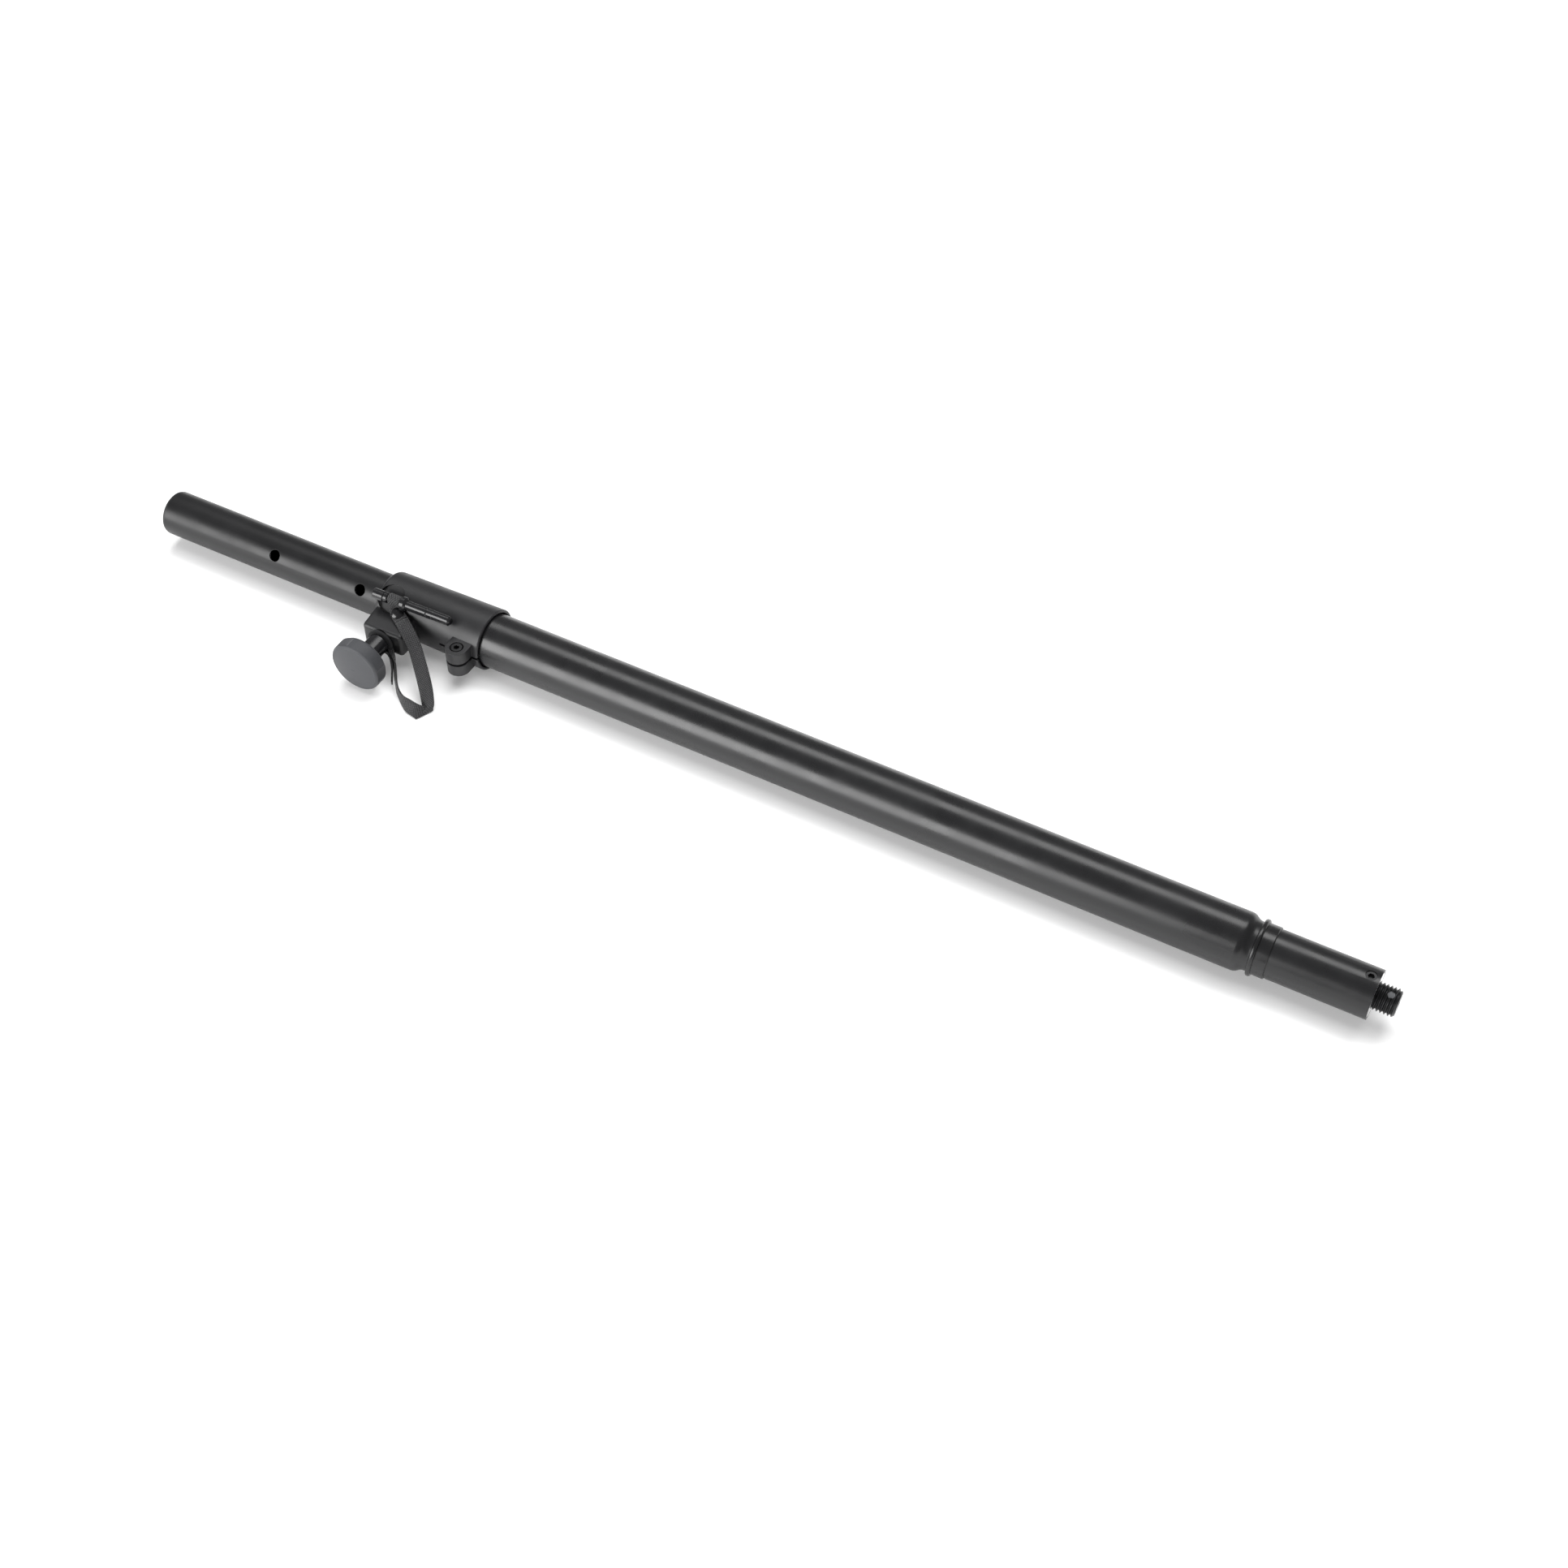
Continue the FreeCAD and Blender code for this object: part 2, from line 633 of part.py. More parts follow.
def thread_insert():
    body = turned("boss_insert", [
        ("insert_start + seat_gap", "screw_r + running_gap"), ("insert_start + seat_gap", "insert_r"),
        ("boss_front - boss_recess_depth", "insert_r"),
        ("boss_front - boss_recess_depth", "screw_r + running_gap"),
    ])
    finish_on_knob(body, "thread_insert")


def stem_washer():
    seat = "(boss_front - boss_recess_depth + seat_gap)"
    body = turned("stem_ring", [
        (seat, "screw_r + 0.3"), (seat, "boss_recess_r - 0.25"),
        (f"{seat} + stem_washer_depth", "boss_recess_r - 0.25"),
        (f"{seat} + stem_washer_depth", "screw_r + 0.3"),
    ])
    finish_on_knob(body, "stem_washer")


def knob_screw():
    body = turned("stem", [
        ("shoe_end - nose_depth + seat_gap", "0"), ("shoe_end - nose_depth + seat_gap", "nose_r"),
        ("shoe_end + seat_gap", "nose_r"), ("shoe_end + seat_gap", "screw_r - 0.8"),
        ("shoe_end + 0.8", "screw_r"), ("screw_end", "screw_r"), ("screw_end", "0"),
    ])
    finish_on_knob(body, "knob_screw")


def knob_hub():
    bore = "(screw_r + seat_gap)"
    body = turned("hub", [
        ("neck_start", bore), ("neck_start", "neck_r - 0.4"), ("neck_start + 0.4", "neck_r"),
        ("hub_start", "neck_r"), ("hub_start", "hub_r - 0.8"), ("hub_start + 0.8", "hub_r"),
        ("knob_start - seat_gap", "hub_r"), ("knob_start - seat_gap", bore),
    ], {4: ("hub_start + 0.234", "hub_r - 0.234")})
    finish_on_knob(body, "knob_hub")


def knob_insert():
    bore = "(screw_r + seat_gap)"
    body = turned("knob_core", [
        ("knob_start", bore), ("knob_start", "knob_insert_r"),
        ("knob_insert_end", "knob_insert_r"), ("knob_insert_end", bore),
    ])
    finish_on_knob(body, "knob_insert")


def knob_body():
    """A round knob with a soft front edge and three shallow scallops behind a lip."""
    far = "0.2929 * knob_edge"
    body = turned("knob_shell", [
        ("knob_start", "knob_insert_r + seat_gap"), ("knob_start", "knob_r - knob_edge - 1.6"),
        ("knob_start + 1.2", "knob_r - 1.0"), ("knob_start + 3.2", "knob_r"),
        ("knob_end - knob_edge", "knob_r"), ("knob_end", "face_r + seat_gap"),
        ("face_seat", "face_r + seat_gap"), ("face_seat", "knob_insert_r + seat_gap"),
    ], {
        1: ("knob_start + 0.42", "knob_r - 2.1"),
        2: ("knob_start + 2.1", "knob_r - 0.27"),
        4: (f"knob_end - {far}", f"knob_r - {far}"),
    })
    reach = "(knob_r - scallop_depth + scallop_r)"
    scallops = [
        cylinder(f"scallop_{n + 1}", "scallop_r", "knob_end - scallop_lip - knob_start + 2",
                 "knob_start - 2", f"{reach} * cos(scallop_angle + {n} * 120)",
                 f"{reach} * sin(scallop_angle + {n} * 120)", ALONG_POLE)
        for n in range(3)
    ]
    finish_on_knob(cut("knob_cut", body, *scallops), "knob_body")


def knob_face():
    body = turned("knob_disc", [
        ("face_seat + seat_gap", "0"), ("face_seat + seat_gap", "face_r"),
        ("knob_end", "face_r"), ("face_crown", "0"),
    ], {2: dome_middle("knob_end", "face_r", "face_crown")})
    finish_on_knob(body, "knob_face")


# ---------------------------------------------------------------- locking pin
def finish_on_pin(body, label):
    """Set down a piece turned about the pin's axis, which lies on the collar's shoulder."""
    rise = math.radians(number("pin_angle"))
    outward = V(0, -math.cos(rise), math.sin(rise))
    body.Placement = FreeCAD.Placement(V(), FreeCAD.Rotation(outward, number("pin_skew")))
    finish(body, label, x="pole_x + pin_x", y="pole_y - pin_axis_r * cos(pin_angle)",
           z="pole_z + pin_axis_r * sin(pin_angle)")


def pin_shaft():
    groove = "pin_r - pin_groove_depth"
    body = turned("pin_rod", [
        ("2", "0"), ("2", "pin_neck_r"), ("pin_flange_start", "pin_neck_r"),
        ("pin_flange_start", "pin_flange_r - 0.5"), ("pin_flange_start + 0.5", "pin_flange_r"),
        ("pin_flange_end - 1.4", "pin_flange_r"), ("pin_flange_end", "pin_r + 0.3"),
        ("pin_flange_end", "pin_r"), ("pin_groove - 0.6", "pin_r"),
        ("pin_groove - 0.6", groove), ("pin_groove + 0.6", groove),
        ("pin_groove + 0.6", "pin_r"), ("pin_tip_start", "pin_r"),
        ("pin_tip_start + 0.6", "pin_tip_r"), ("pin_length - 1.4", "pin_tip_r"),
        ("pin_length", "pin_tip_r - 1.4"), ("pin_length", "0"),
    ])
    finish_on_pin(body, "pin_shaft")


def pin_head():
    bore = "(pin_neck_r + seat_gap)"
    body = turned("pin_cap", [
        ("0", "0"), ("0", "pin_head_r - 1"), ("1", "pin_head_r"),
        ("pin_head_groove - 0.6", "pin_head_r"), ("pin_head_groove", "pin_head_r - 0.6"),
        ("pin_head_groove + 0.6", "pin_head_r"), ("pin_head_end - 0.8", "pin_head_r"),
        ("pin_head_end", "pin_head_r - 0.8"), ("pin_head_end", bore), ("1.99", bore), ("1.99", "0"),
    ], {1: ("0.293", "pin_head_r - 0.293")})
    finish_on_pin(body, "pin_head")


def pin_snap_ring():
    body = turned("pin_ring", [
        ("pin_groove - 0.5", "pin_r - 0.48"), ("pin_groove - 0.5", "pin_r - 0.05"),
        ("pin_groove", "pin_r + 0.12"), ("pin_groove + 0.5", "pin_r - 0.05"),
        ("pin_groove + 0.5", "pin_r - 0.48"),
    ])
    finish_on_pin(body, "pin_snap_ring")


# ---------------------------------------------------------------- webbing tether
# Middle line of the free strap from the stem's loop to the rivet, with the direction of its
# width at each point and the share of its full width there, in the pole's layout frame. It is
# folded over once, corner-wise, near the floor; that station also has the direction in which the
# crease faces.
CREASE = math.sqrt(2)               # a corner-wise fold is this much longer than the width
STRAP = [
    ((235.2, -42.2, -3.4), (0.1, -0.5, 0.86), 0.32),
    ((238.0, -43.6, -5.7), (0.2, -0.6, 0.78), 0.5),
    ((240.9, -46.0, -7.8), (0.3, -0.55, 0.78), 0.8),
    ((243.9, -49.7, -10.2), (0.33, -0.35, 0.88), 1),
    ((247.9, -55.2, -13.4), (0.33, -0.28, 0.9), 1),
    ((253.0, -61.9, -16.6), (0.38, -0.3, 0.87), 1),
    ((256.6, -65.3, -18.2), (0.5, -0.3, 0.8), 1),
    ((260.0, -67.6, -18.7), (0.58, -0.27, 0.77), 1),
    ((263.5, -69.7, -18.7), (0.54, -0.1, 0.84), 1),
    ((267.6, -71.7, -18.5), (0.47, 0.2, 0.86), 1),
    ((272.9, -73.6, -18.9), (0.34, 0.58, 0.74), 1),
    ((277.2, -74.1, -19.3), (0.36, 0.6, 0.71), 1),
    ((284.2, -71.9, -22.8), (0.41, 0.91, 0.0), CREASE, (0.91, -0.41, 0.0)),
    ((284.8, -66.8, -19.5), (0.85, 0.26, 0.46), 1),
    ((281.8, -63.0, -16.5), (0.84, 0.39, 0.37), 1),
    ((277.4, -57.9, -12.8), (0.8, 0.54, 0.26), 1),
    ((269.2, -49.9, -6.5), (0.8, 0.55, 0.23), 1),
    ((261.1, -42.7, 0.5), (0.72, 0.58, 0.38), 1),
    ((255.9, -38.2, 5.6), (0.66, 0.63, 0.4), 1),
    ((247.4, -33.7, 12.3), (0.6, 0.76, 0.18), 1),
    ((237.3, -26.6, 13.0), (0.6, 0.75, 0.28), 1),
]
# The same for the doubled tab, from the pin's neck past the rivet to the end of the strap.
TAB = [
    ((227.5, -20.6, 19.6), (1.0, 0.02, 0.02), 1),
    ((228.9, -21.9, 16.4), (0.85, 0.5, 0.08), 1),
    ((231.0, -22.7, 13.6), (0.6, 0.75, 0.28), 1),
    ((236.9, -26.3, 12.9), (0.6, 0.75, 0.28), 1),
]
# The same for the short end left over beside the strap where the stem's loop is sewn.
TAIL = [
    ((233.2, -42.2, -6.4), (0.1, -0.5, 0.86), 0.3),
    ((237.2, -44.2, -8.6), (0.15, -0.6, 0.78), 0.45),
    ((240.2, -48.2, -10.2), (0.25, -0.5, 0.83), 0.75),
    ((243.2, -54.0, -12.4), (0.33, -0.3, 0.9), 1),
    ((245.4, -58.2, -14.4), (0.33, -0.3, 0.9), 1),
    ((247.3, -61.6, -16.0), (0.33, -0.3, 0.9), 1),
]
RIVET_UP = V(0.22, -0.45, 0.865)    # the rivet's own axis


def ribbon(stations, width, thick):
    """A flat strap: rectangles across the route, joined by straight skins."""
    points = [V(*station[0]) for station in stations]
    wires = []
    for i, (_, across, share, *crease) in enumerate(stations):
        side = V(*across)
        if crease:
            side.normalize()
            face = V(*crease[0]).normalize()
        else:
            ahead = points[min(i + 1, len(points) - 1)] - points[max(i - 1, 0)]
            ahead.normalize()
            side = side - ahead * side.dot(ahead)
            side.normalize()
            face = ahead.cross(side)
        corners = [
            points[i] + side * (a * width * share / 2) + face * (b * thick / 2)
            for a, b in ((-1, -1), (1, -1), (1, 1), (-1, 1))
        ]
        wires.append(Part.makePolygon(corners + corners[:1]))
    return Part.makeLoft(wires, True, True)


def plain(label, shape):
    """A sub-part whose shape is made directly, set down in the row frame."""
    thing = doc.addObject("Part::Feature", label + "_shape")
    thing.Shape = shape
    return finish(thing, label)


def tether_strap():
    plain("tether_strap", ribbon(STRAP, number("webbing_width"), number("webbing_thick")))


def tether_stem_loop():
    """The strap's end, gathered into a loop round the hub's neck, with a short tail."""
    near, far = number("stem_loop_near"), number("stem_loop_far")
    base, axis = V(number("knob_x"), -near, 0), V(0, -1, 0)
    ring = Part.makeCylinder(number("stem_loop_r"), far - near, base, axis)
    hole = Part.makeCylinder(number("neck_r") + 0.15, 20, base + V(0, 10, 0), axis)
    tail = ribbon(TAIL, number("webbing_width"), number("webbing_thick"))
    strap = ribbon(STRAP, number("webbing_width"), number("webbing_thick"))
    plain("tether_stem_loop", ring.fuse(tail).cut(hole).cut(hub_room()).cut(strap))


def hub_room():
    """The space of the hub in front of the loop."""
    start = number("hub_start") - 0.05
    return Part.makeCylinder(number("hub_r") + 0.1, number("knob_start") - start,
                             V(number("knob_x"), -start, 0), V(0, -1, 0))


def pin_frame():
    """The pin's own frame in the layout frame: x along the pin."""
    rise = math.radians(number("pin_angle"))
    outward = V(0, -math.cos(rise), math.sin(rise))
    at = outward * number("pin_axis_r") + V(number("pin_x"), 0, 0)
    return FreeCAD.Placement(at, FreeCAD.Rotation(outward, number("pin_skew")))


def tether_pin_loop():
    """The strap's other end, round the pin's neck between head and flange."""
    inner = number("pin_neck_r") + 0.15
    outer = inner + number("webbing_thick")
    length = number("webbing_width")
    start = number("pin_head_end + pin_flange_start") / 2 - length / 2
    ring = Part.makeCylinder(outer, length, V(start, 0, 0), V(1, 0, 0))
    hole = Part.makeCylinder(inner, length + 2, V(start - 1, 0, 0), V(1, 0, 0))
    flange = Part.makeCylinder(number("pin_flange_r") + 0.1, 6,
                               V(number("pin_flange_start") - 0.1, 0, 0), V(1, 0, 0))
    hole = hole.fuse(flange)
    tab = ribbon(TAB, length, 2 * number("webbing_thick"))
    for shape in (ring, hole):
        shape.transformShape(pin_frame().toMatrix())
    up, at, seat = V(RIVET_UP).normalize(), rivet_at(), number("webbing_thick") + 0.15
    post = Part.makeCylinder(number("rivet_post_r") + 0.05, 20, at - up * 10, up)
    above = Part.makeCylinder(number("rivet_r") + 0.1, 3, at + up * (seat - 0.02), up)
    below = Part.makeCylinder(number("rivet_r") - 0.9, 3, at - up * (seat - 0.02), up * -1)
    slope = number("(collar_r_base - collar_r_top) / (collar_end - collar_start)")
    room = Part.makeCone(number("collar_r_top") + 0.05, number("collar_r_base") + 0.05 + slope,
                         number("collar_end - collar_start"), V(number("collar_start"), 0, 0),
                         V(1, 0, 0))
    plain("tether_pin_loop", ring.fuse(tab).cut(hole).cut(post).cut(above).cut(below).cut(room))


def rivet_at():
    return V(number("rivet_x"), number("rivet_y"), number("rivet_z"))


def finish_on_rivet(body, label):
    body.Placement = FreeCAD.Placement(V(), FreeCAD.Rotation(V(1, 0, 0), RIVET_UP))
    finish(body, label, x="pole_x + rivet_x", y="pole_y + rivet_y", z="pole_z + rivet_z")


def tether_rivet_cap():
    seat = "(webbing_thick + 0.15)"
    body = turned("rivet_dome_cap", [
        (seat, "rivet_post_r + seat_gap"), (seat, "rivet_r - 0.2"), (f"{seat} + 0.5", "rivet_r"),
        (f"{seat} + rivet_dome", "0"), (f"{seat} + 0.7", "0"),
        (f"{seat} + 0.7", "rivet_post_r + seat_gap"),
    ], {2: dome_middle(f"{seat} + 0.5", "rivet_r", f"{seat} + rivet_dome")})
    finish_on_rivet(body, "tether_rivet_cap")


def tether_rivet_post():
    seat = "(webbing_thick + 0.15)"
    body = turned("rivet_pin", [
        (f"-{seat} - 0.7", "0"), (f"-{seat} - 0.7", "rivet_r - 1.4"), (f"-{seat}", "rivet_r - 1"),
        (f"-{seat}", "rivet_post_r"), (f"{seat} + 0.69", "rivet_post_r"), (f"{seat} + 0.69", "0"),
    ])
    finish_on_rivet(body, "tether_rivet_post")


BUILDERS = [
    upper_tube, upper_end_cap, guide_bushing, lower_tube, flange_ring, threaded_plug,
    plug_set_screws, m20_stud, thread_lock_pellet, clamp_collar, collar_liner, clamp_hardware,
    pressure_shoe, shoe_pad, thread_insert, stem_washer, knob_screw, knob_hub, knob_insert,
    knob_body, knob_face, pin_shaft, pin_head, pin_snap_ring, tether_strap, tether_stem_loop,
    tether_pin_loop, tether_rivet_cap, tether_rivet_post,
]
for build in BUILDERS:
    build()
doc.recompute()

# ---------------------------------------------------------------- check and write
for thing in doc.Objects:
    if {"Invalid", "Error"} & set(thing.State):
        raise RuntimeError(f"{thing.Label} failed: {thing.State}")
for thing in finished:
    if thing.Shape.isNull() or not thing.Shape.isValid():
        raise RuntimeError(f"{thing.Label} has no valid shape")
os.makedirs("parts", exist_ok=True)
for thing in finished:
    thing.Shape.exportStep(f"parts/{thing.Label}.step")
    print(f"{thing.Label}: {thing.Shape.Volume:.1f} mm3, {len(thing.Shape.Solids)} solid(s)")
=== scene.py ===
"""Looks for the telescoping speaker pole: powder coat, moulded plastic, glossy black fittings, a cut
thread on the stud and a woven tether. Lengths in the tables below are millimetres in the pole's own
layout: x from the speaker end along the pole, y and z from the pole's axis."""

import json
import math
from collections import namedtuple

import bmesh
import bpy
from mathutils import Matrix, Vector


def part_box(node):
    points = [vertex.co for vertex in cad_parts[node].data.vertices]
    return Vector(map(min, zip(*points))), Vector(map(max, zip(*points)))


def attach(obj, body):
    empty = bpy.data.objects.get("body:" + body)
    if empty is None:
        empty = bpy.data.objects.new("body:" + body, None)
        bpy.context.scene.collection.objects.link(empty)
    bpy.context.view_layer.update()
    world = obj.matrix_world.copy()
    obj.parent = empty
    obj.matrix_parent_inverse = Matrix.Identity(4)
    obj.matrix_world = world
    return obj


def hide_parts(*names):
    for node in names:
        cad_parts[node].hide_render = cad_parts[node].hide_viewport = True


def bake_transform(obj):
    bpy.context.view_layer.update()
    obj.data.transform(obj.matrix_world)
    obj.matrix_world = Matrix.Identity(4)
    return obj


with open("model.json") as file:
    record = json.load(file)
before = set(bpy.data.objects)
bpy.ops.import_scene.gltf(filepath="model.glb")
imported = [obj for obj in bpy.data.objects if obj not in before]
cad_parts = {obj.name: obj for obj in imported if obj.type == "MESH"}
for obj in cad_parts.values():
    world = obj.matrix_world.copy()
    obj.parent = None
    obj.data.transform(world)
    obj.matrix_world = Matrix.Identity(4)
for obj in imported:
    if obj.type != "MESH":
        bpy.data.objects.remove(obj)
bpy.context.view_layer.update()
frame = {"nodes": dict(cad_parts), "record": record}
record = frame["record"]

MM = 0.001
mounts = {m["name"]: m for m in record["mounts"]}
stud_mount = mounts["stud_thread"]
POLE_START = Vector((
    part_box("upper_end_cap")[0][0], stud_mount["pos_m"][1], stud_mount["pos_m"][2],
))


def at(x, y, z):
    """A point of the pole's layout, in metres in the row frame."""
    return POLE_START + Vector((x, y, z)) * MM


# ---------------------------------------------------------------- camera
CAMERA_AT = Vector((0.56334, -0.91270, 1.17977))
CAMERA_AHEAD = Vector((-0.32284, 0.58786, -0.74176)).normalized()
CAMERA_RIGHT = Vector((0.87652, 0.48136, 0.0)).normalized()
LENS, SENSOR = 51.0, 36.0


def add_camera():
    data = bpy.data.cameras.new("camera")
    data.lens, data.sensor_width, data.sensor_height = LENS, SENSOR, SENSOR
    data.clip_start, data.clip_end = 0.01, 100.0
    camera = bpy.data.objects.new("camera", data)
    up = CAMERA_RIGHT.cross(CAMERA_AHEAD)
    turn = Matrix((CAMERA_RIGHT, up, -CAMERA_AHEAD)).transposed()
    camera.matrix_world = Matrix.Translation(CAMERA_AT) @ turn.to_4x4()
    bpy.context.collection.objects.link(camera)
    bpy.context.scene.camera = camera


# ---------------------------------------------------------------- material helpers
def new_material(name):
    """A material with its node tree and shader."""
    material = bpy.data.materials.new(name)
    material.use_nodes = True
    tree = material.node_tree
    shader = tree.nodes["Principled BSDF"]
    return material, tree, shader


def node(tree, kind, **inputs):
    made = tree.nodes.new(kind)
    for name, value in inputs.items():
        made.inputs[name.replace("_", " ")].default_value = value
    return made


def noise(tree, scale, detail=2.0, rough=0.5, stretch=(1, 1, 1)):
    """Noise in the object's own coordinates; scale is the size of its features in metres."""
    place = tree.nodes.new("ShaderNodeTexCoord")
    spread = tree.nodes.new("ShaderNodeMapping")
    spread.inputs["Scale"].default_value = stretch
    texture = node(tree, "ShaderNodeTexNoise", Scale=1 / scale, Detail=detail, Roughness=rough)
    tree.links.new(place.outputs["Object"], spread.inputs["Vector"])
    tree.links.new(spread.outputs["Vector"], texture.inputs["Vector"])
    return texture.outputs["Fac"]


def spread_of(tree, value, low, high, start=0.3, stop=0.7):
    """Map a value from start..stop onto low..high."""
    ramp = tree.nodes.new("ShaderNodeMapRange")
    for name, number in (("From Min", start), ("From Max", stop), ("To Min", low), ("To Max", high)):
        ramp.inputs[name].default_value = number
    tree.links.new(value, ramp.inputs["Value"])
    return ramp.outputs["Result"]


def blend_colour(tree, value, first, second):
    mix = tree.nodes.new("ShaderNodeMix")
    mix.data_type = "RGBA"
    mix.inputs["A"].default_value = (*first, 1)
    mix.inputs["B"].default_value = (*second, 1)
    tree.links.new(value, mix.inputs["Factor"])
    return mix.outputs["Result"]


def bump(tree, shader, value, depth, edge=0.0):
    """Raise the surface by a 0..1 value times a depth in metres, with softened edges if asked."""
    lift = node(tree, "ShaderNodeBump", Strength=1.0, Distance=depth)
    tree.links.new(value, lift.inputs["Height"])
    if edge:
        soft = tree.nodes.new("ShaderNodeBevel")
        soft.samples = 6
        soft.inputs["Radius"].default_value = edge
        tree.links.new(soft.outputs["Normal"], lift.inputs["Normal"])
    tree.links.new(lift.outputs["Normal"], shader.inputs["Normal"])


BLOTCH_SHADE = 0.12     # how far a blotch is darker or lighter than the material's own colour


def grained(name, colour, roughness, grain, depth, swing=0.06, edge=0.0, sheen=0.0, metallic=0.0,
            level=0.5, blotch=0.02):
    """Paint, plastic, rubber or metal: fine grain in relief, blotches in colour and gloss."""
    material, tree, shader = new_material(name)
    broad = noise(tree, blotch, 3.0, 0.6)
    darker = [c * (1 - BLOTCH_SHADE) for c in colour]
    lighter = [c * (1 + BLOTCH_SHADE) for c in colour]
    tree.links.new(blend_colour(tree, spread_of(tree, broad, 0, 1), darker, lighter),
                   shader.inputs["Base Color"])
    tree.links.new(spread_of(tree, broad, roughness - swing, roughness + swing),
                   shader.inputs["Roughness"])
    shader.inputs["Metallic"].default_value = metallic
    shader.inputs["Specular IOR Level"].default_value = level
    shader.inputs["Sheen Weight"].default_value = sheen
    bump(tree, shader, noise(tree, grain, 2.0, 0.55), depth, edge)
    return material


SCRATCH = 0.0009        # size of the scratches in turned metal
SCRATCH_DEPTH = 0.000004


def turned_metal(name, colour, roughness, edge=0.0):
    """Plated steel or brass: short scratches of differing gloss."""
    material, tree, shader = new_material(name)
    lines = noise(tree, SCRATCH, 2.0, 0.6, stretch=(1, 1, 6))
    tree.links.new(blend_colour(tree, lines, [c * 0.8 for c in colour], [c * 1.15 for c in colour]),
                   shader.inputs["Base Color"])
    tree.links.new(spread_of(tree, lines, roughness - 0.08, roughness + 0.1),
                   shader.inputs["Roughness"])
    shader.inputs["Metallic"].default_value = 1.0
    bump(tree, shader, lines, SCRATCH_DEPTH, edge)
    return material


WEAVE = 0.0019          # one rib of the webbing, along and across
WEAVE_STRAY = 0.5       # how far the yarns wander, as a share of a rib
WEAVE_DEPTH = 0.0004


def woven(name):
    """Black webbing: raised yarns in a chequer, from the strap's own length and width."""
    material, tree, shader = new_material(name)
    place = tree.nodes.new("ShaderNodeUVMap")
    stray = node(tree, "ShaderNodeTexNoise", Scale=1 / (2 * WEAVE), Detail=2.0)
    shift = node(tree, "ShaderNodeVectorMath")
    shift.operation = "MULTIPLY_ADD"
    shift.inputs[1].default_value = (WEAVE * WEAVE_STRAY,) * 3
    tree.links.new(place.outputs["UV"], stray.inputs["Vector"])
    tree.links.new(stray.outputs["Color"], shift.inputs[0])
    tree.links.new(place.outputs["UV"], shift.inputs[2])
    split = tree.nodes.new("ShaderNodeSeparateXYZ")
    tree.links.new(shift.outputs["Vector"], split.inputs["Vector"])
    waves = []
    for axis in ("X", "Y"):
        turn = node(tree, "ShaderNodeMath")
        turn.operation = "MULTIPLY"
        turn.inputs[1].default_value = 2 * math.pi / WEAVE
        tree.links.new(split.outputs[axis], turn.inputs[0])
        wave = node(tree, "ShaderNodeMath")
        wave.operation = "SINE"
        tree.links.new(turn.outputs[0], wave.inputs[0])
        waves.append(wave.outputs[0])
    product = node(tree, "ShaderNodeMath")
    product.operation = "MULTIPLY"
    for i, wave in enumerate(waves):
        tree.links.new(wave, product.inputs[i])
    height = spread_of(tree, product.outputs[0], 0, 1, -0.3, 0.8)
    fuzz = noise(tree, 0.00025, 3.0, 0.7)
    # the colour follows the yarns' height: darker in the dips between them, painted shade, and
    # lighter on their crowns, painted highlight
    colour = blend_colour(tree, height, (0.004, 0.004, 0.0043), (0.05, 0.05, 0.053))
    tree.links.new(colour, shader.inputs["Base Color"])
    tree.links.new(spread_of(tree, fuzz, 0.5, 0.8), shader.inputs["Roughness"])
    shader.inputs["Sheen Weight"].default_value = 0.15
    shader.inputs["Sheen Roughness"].default_value = 0.4
    bump(tree, shader, height, WEAVE_DEPTH)
    return material


